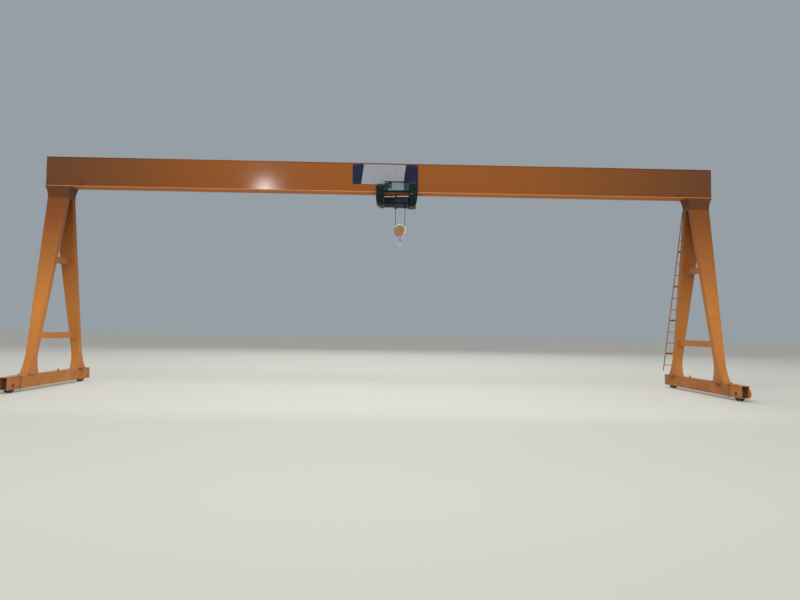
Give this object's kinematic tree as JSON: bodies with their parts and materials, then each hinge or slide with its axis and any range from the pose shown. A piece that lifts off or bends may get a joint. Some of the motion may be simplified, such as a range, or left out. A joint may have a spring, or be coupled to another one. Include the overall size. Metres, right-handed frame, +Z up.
{
  "type": "gantry crane",
  "caption": "Single-girder gantry crane on two A-frames with wheeled end carriages, a hoist trolley under the box girder, a hook block on rope and an access ladder.",
  "frame": {"origin": "on the floor, midway between the rails and midway between the ends of the carriages", "axes": "+X along the girder towards the leg with the ladder, +Y along the rails away from the wheel boxes, +Z up"},
  "size_m": [18.78, 4.26, 6.355],
  "materials": {
    "orange_paint": "satin paint",
    "drive_paint": "satin paint",
    "hoist_paint": "semi-gloss paint",
    "box_paint": "semi-gloss paint",
    "block_paint": "satin paint",
    "wheel_steel": "machined and greased",
    "bright_steel": "bare steel",
    "wire_rope": "greased wire"
  },
  "bodies": {
    "root": {"girder_front_web": "orange_paint", "girder_rear_web": "orange_paint", "girder_top_plate": "orange_paint", "girder_lower_flange": "orange_paint", "girder_end_plates": "orange_paint", "hoist_stops": "orange_paint", "left_head": "orange_paint", "right_head": "orange_paint", "left_front_column": "orange_paint", "left_rear_column": "orange_paint", "right_front_column": "orange_paint", "right_rear_column": "orange_paint", "left_lower_tie": "orange_paint", "left_upper_tie": "orange_paint", "right_lower_tie": "orange_paint", "right_upper_tie": "orange_paint", "left_carriage": "orange_paint", "right_carriage": "orange_paint", "left_wheel_box": "orange_paint", "right_wheel_box": "orange_paint", "left_drive": "drive_paint", "right_drive": "drive_paint", "ladder": "drive_paint"},
    "trolley": {"trolley_left_end": "hoist_paint", "trolley_right_end": "hoist_paint", "trolley_ties": "hoist_paint", "trolley_wheels": "wheel_steel", "control_box": "box_paint", "hoist_drive": "hoist_paint", "trolley_drive": "drive_paint", "rope_guide": "bright_steel", "rope_falls": "wire_rope"},
    "drum": {"rope_drum": "wheel_steel"},
    "hook_block": {"hook_side_plates": "block_paint", "hook_crosshead": "bright_steel", "rope_turn": "wire_rope"},
    "sheave": {"hook_sheave": "bright_steel"},
    "hook": {"hook": "bright_steel"},
    "left_front_wheel": {"left_front_wheel": "wheel_steel"},
    "left_rear_wheel": {"left_rear_wheel": "wheel_steel"},
    "right_front_wheel": {"right_front_wheel": "wheel_steel"},
    "right_rear_wheel": {"right_rear_wheel": "wheel_steel"}
  },
  "joints": [
    {"name": "trolley_travel", "type": "slide", "parent": "root", "child": "trolley", "axis": [1, 0, 0], "range_m": [-8.22, 7.45]},
    {"name": "hook_lift", "type": "slide", "parent": "trolley", "child": "hook_block", "axis": [0, 0, 1], "range_m": [-3.9, 0.35], "deforming": ["rope_falls"]},
    {"name": "hook_swivel", "type": "hinge", "parent": "hook_block", "child": "hook", "pos_m": [0.496, 0.27, 4.25], "axis": [0, 0, 1], "continuous": true},
    {"name": "drum_turn", "type": "hinge", "parent": "trolley", "child": "drum", "pos_m": [0.384, 0.428, 5.31], "axis": [1, 0, 0], "continuous": true},
    {"name": "sheave_turn", "type": "hinge", "parent": "hook_block", "child": "sheave", "pos_m": [0.496, 0.27, 4.48], "axis": [0, 1, 0], "continuous": true},
    {"name": "left_front_wheel_turn", "type": "hinge", "parent": "root", "child": "left_front_wheel", "pos_m": [-9, -1.87, 0.186], "axis": [1, 0, 0], "continuous": true},
    {"name": "left_rear_wheel_turn", "type": "hinge", "parent": "root", "child": "left_rear_wheel", "pos_m": [-9, 1.75, 0.186], "axis": [1, 0, 0], "continuous": true},
    {"name": "right_front_wheel_turn", "type": "hinge", "parent": "root", "child": "right_front_wheel", "pos_m": [9, -1.87, 0.186], "axis": [1, 0, 0], "continuous": true},
    {"name": "right_rear_wheel_turn", "type": "hinge", "parent": "root", "child": "right_rear_wheel", "pos_m": [9, 1.75, 0.186], "axis": [1, 0, 0], "continuous": true}
  ],
  "couplings": [
    {"joint": "drum_turn", "follows": "hook_lift", "rad_per_m": -12.658},
    {"joint": "sheave_turn", "follows": "hook_lift", "rad_per_m": 7.5758}
  ]
}
